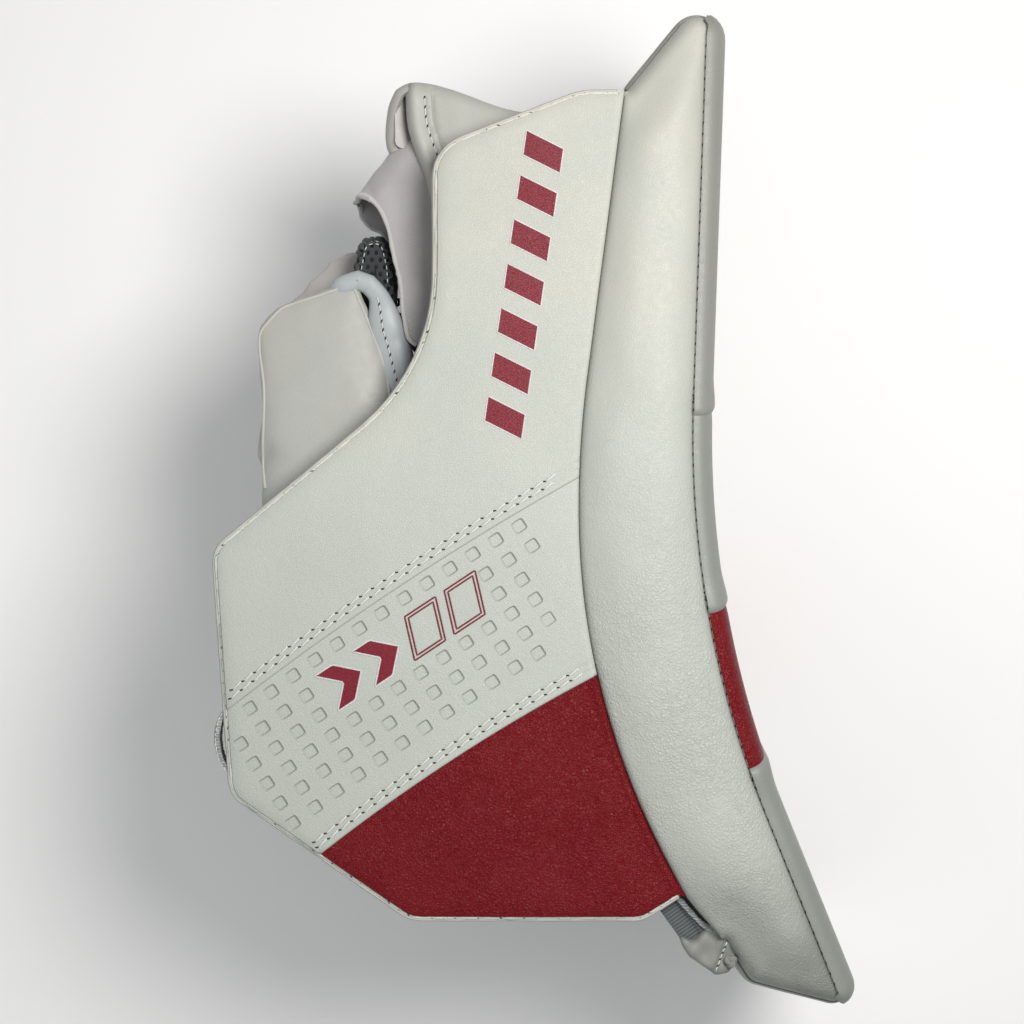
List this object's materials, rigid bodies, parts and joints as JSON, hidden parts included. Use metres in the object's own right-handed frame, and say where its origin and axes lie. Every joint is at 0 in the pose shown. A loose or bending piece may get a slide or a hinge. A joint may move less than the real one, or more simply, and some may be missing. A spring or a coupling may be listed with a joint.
{
  "type": "goalie blocker",
  "caption": "Padded rectangular board with a bent front, a side board, a thumb guard and a glove with a strapped cuff on its back.",
  "frame": {"origin": "middle of the bounding box's bottom face: the blocker lies on the little-finger edge of its board", "axes": "+Z from the little-finger edge to the thumb edge, +X out of the front face, +Y to the fingertip end"},
  "size_m": [0.2415, 0.3757, 0.203],
  "materials": {
    "white_leather": "satin, fine pebbled grain",
    "red_leather": "satin, fine pebbled grain",
    "red_print": "matte printed film",
    "foam": "closed-cell foam, matte",
    "plastic_sheet": "smooth",
    "nylon_cloth": "woven nylon, matte",
    "webbing": "woven webbing",
    "elastic": "ribbed elastic",
    "jersey": "knitted jersey",
    "suede": "brushed synthetic suede",
    "spacer_mesh": "open spacer mesh",
    "hook_and_loop": "hook and loop tape",
    "eyelet_metal": "polished",
    "thread": "twisted sewing thread, dark in the needle holes"
  },
  "bodies": {
    "board": {"front_foam": "foam", "core_sheet": "plastic_sheet", "back_foam": "foam", "face_panel_tip": "white_leather", "face_panel_middle": "white_leather", "face_panel_red": "red_leather", "face_panel_cuff": "white_leather", "thumb_side_roll": "white_leather", "little_side_roll": "white_leather", "tip_end_cap": "white_leather", "cuff_end_cap": "white_leather", "back_cover": "nylon_cloth", "anchor_tab": "white_leather", "tab_knot": "webbing", "cuff_elastic": "elastic", "hand_pad": "foam", "hand_liner": "jersey", "palm": "suede", "little_gusset": "jersey", "index_gusset": "jersey", "thumb_gusset": "jersey", "index_guard": "white_leather", "index_sleeve": "jersey", "cuff_wrap": "white_leather", "strap_base": "webbing", "loop_patch": "hook_and_loop", "eyelet_strip": "white_leather", "eyelets": "eyelet_metal", "palm_lace": "webbing"},
    "side_board": {"side_inner_foam": "foam", "side_sheet": "plastic_sheet", "side_outer_foam": "foam", "side_panel_upper": "white_leather", "side_panel_embossed": "white_leather", "side_panel_red": "red_leather", "side_lining": "nylon_cloth", "side_binding": "white_leather", "side_stripes": "red_print", "side_badge": "red_print", "edge_loop": "webbing"},
    "index_finger": {"index_stall": "suede", "index_pads": "white_leather"},
    "middle_finger": {"middle_stall": "suede", "middle_pads": "white_leather"},
    "ring_finger": {"ring_stall": "suede", "ring_pads": "white_leather"},
    "little_finger": {"little_stall": "suede", "little_pads": "white_leather"},
    "thumb_guard": {"thumb_outer_pad": "white_leather", "thumb_side_pad": "white_leather", "thumb_inner_pad": "white_leather", "thumb_edge_roll": "white_leather", "thumb_sleeve": "spacer_mesh"},
    "strap": {"strap_tab": "webbing", "hook_patch": "hook_and_loop", "strap_pull": "red_print"}
  },
  "joints": [
    {"name": "side_board_flex", "type": "hinge", "parent": "board", "child": "side_board", "pos_m": [0.0186, 0, 0.1995], "axis": [0, 1, 0], "range_deg": [0, 15], "stiffness_Nm_per_rad": 1, "deforming": ["cuff_elastic"]},
    {"name": "thumb_spread", "type": "hinge", "parent": "board", "child": "thumb_guard", "pos_m": [-0.072, -0.005, 0.157], "axis": [0, 0, 1], "range_deg": [0, 25], "stiffness_Nm_per_rad": 0.1},
    {"name": "index_curl", "type": "hinge", "parent": "board", "child": "index_finger", "pos_m": [-0.005, 0.046, 0.124], "axis": [0, 0, 1], "range_deg": [0, 30], "stiffness_Nm_per_rad": 0.05},
    {"name": "middle_curl", "type": "hinge", "parent": "board", "child": "middle_finger", "pos_m": [-0.005, 0.046, 0.1], "axis": [0, 0, 1], "range_deg": [0, 30], "stiffness_Nm_per_rad": 0.05},
    {"name": "ring_curl", "type": "hinge", "parent": "board", "child": "ring_finger", "pos_m": [-0.005, 0.046, 0.076], "axis": [0, 0, 1], "range_deg": [0, 30], "stiffness_Nm_per_rad": 0.05},
    {"name": "little_curl", "type": "hinge", "parent": "board", "child": "little_finger", "pos_m": [-0.005, 0.046, 0.052], "axis": [0, 0, 1], "range_deg": [0, 30], "stiffness_Nm_per_rad": 0.05},
    {"name": "strap_open", "type": "hinge", "parent": "board", "child": "strap", "pos_m": [-0.05032, -0.10289, 0.1435], "axis": [-0.2419, 0.9703, 0], "range_deg": [0, 70]}
  ]
}
